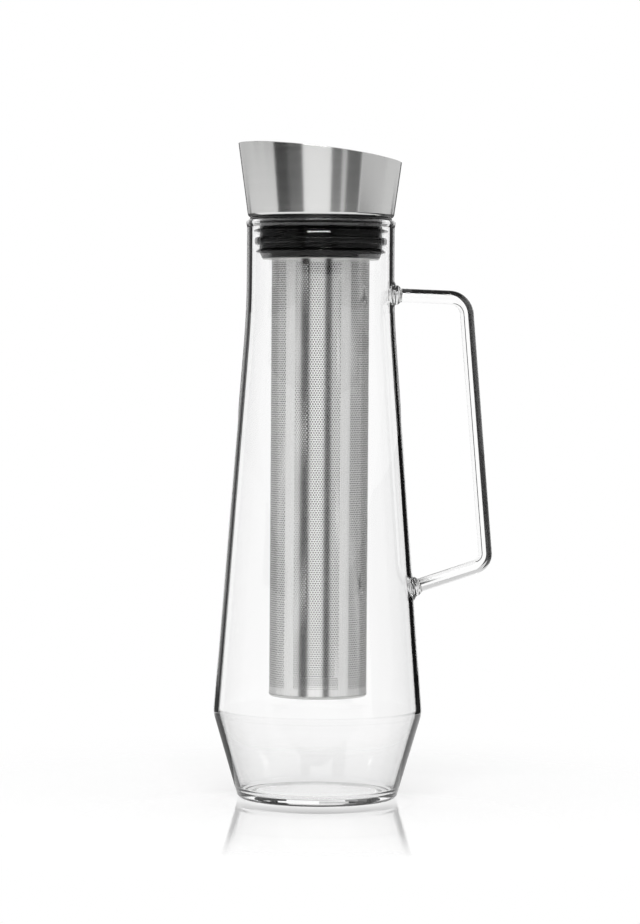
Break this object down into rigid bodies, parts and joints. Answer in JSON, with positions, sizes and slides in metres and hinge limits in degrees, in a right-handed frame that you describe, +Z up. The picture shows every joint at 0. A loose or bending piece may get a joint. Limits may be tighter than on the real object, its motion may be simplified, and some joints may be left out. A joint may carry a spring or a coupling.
{
  "type": "cold brew carafe",
  "caption": "Cold brew carafe: tapered glass bottle with a glass rod handle, a slanted steel pouring collar with a tilting flap, a silicone stopper and a perforated steel filter.",
  "frame": {"origin": "on the bottle's axis, at the level of the surface it stands on", "axes": "+Z up along the bottle's axis, +X towards the handle, -X towards the pouring lip"},
  "size_m": [0.1321, 0.0992, 0.3109],
  "materials": {
    "clear_glass": "clear blown borosilicate, fire polished",
    "black_silicone": "satin moulded silicone",
    "brushed_steel": "stainless steel brushed round the axis",
    "satin_steel": "satin stainless steel sheet",
    "bright_steel": "bright turned stainless steel",
    "black_plastic": "matt moulded plastic",
    "filter_steel": "perforated stainless steel sheet"
  },
  "bodies": {
    "carafe": {"glass_body": "clear_glass", "handle_rod": "clear_glass", "upper_weld": "clear_glass", "lower_weld": "clear_glass"},
    "seal": {"seal_gasket": "black_silicone"},
    "lid": {"pour_collar": "brushed_steel", "stopper_core": "black_plastic", "funnel_floor": "satin_steel", "hinge_bracket": "satin_steel", "hinge_pin": "bright_steel", "bracket_screws": "bright_steel"},
    "flap": {"flap_plate": "satin_steel", "flap_seal": "black_silicone", "flap_stem": "bright_steel", "flap_weight": "bright_steel", "stem_nut": "bright_steel"},
    "filter": {"filter_rim": "filter_steel", "filter_tube": "filter_steel", "filter_base": "filter_steel"}
  },
  "joints": [
    {"name": "lid_lift", "type": "slide", "parent": "carafe", "child": "seal", "axis": [0, 0, 1], "range_m": [0, 0.28]},
    {"name": "lid_turn", "type": "hinge", "parent": "seal", "child": "lid", "pos_m": [0, 0, 0.2755], "axis": [0, 0, 1], "continuous": true},
    {"name": "flap_tilt", "type": "hinge", "parent": "lid", "child": "flap", "pos_m": [0.0265, 0, 0.2817], "axis": [0, 1, 0], "range_deg": [0, 75]},
    {"name": "filter_pull", "type": "slide", "parent": "seal", "child": "filter", "axis": [0, 0, -1], "range_m": [0, 0.04]}
  ]
}
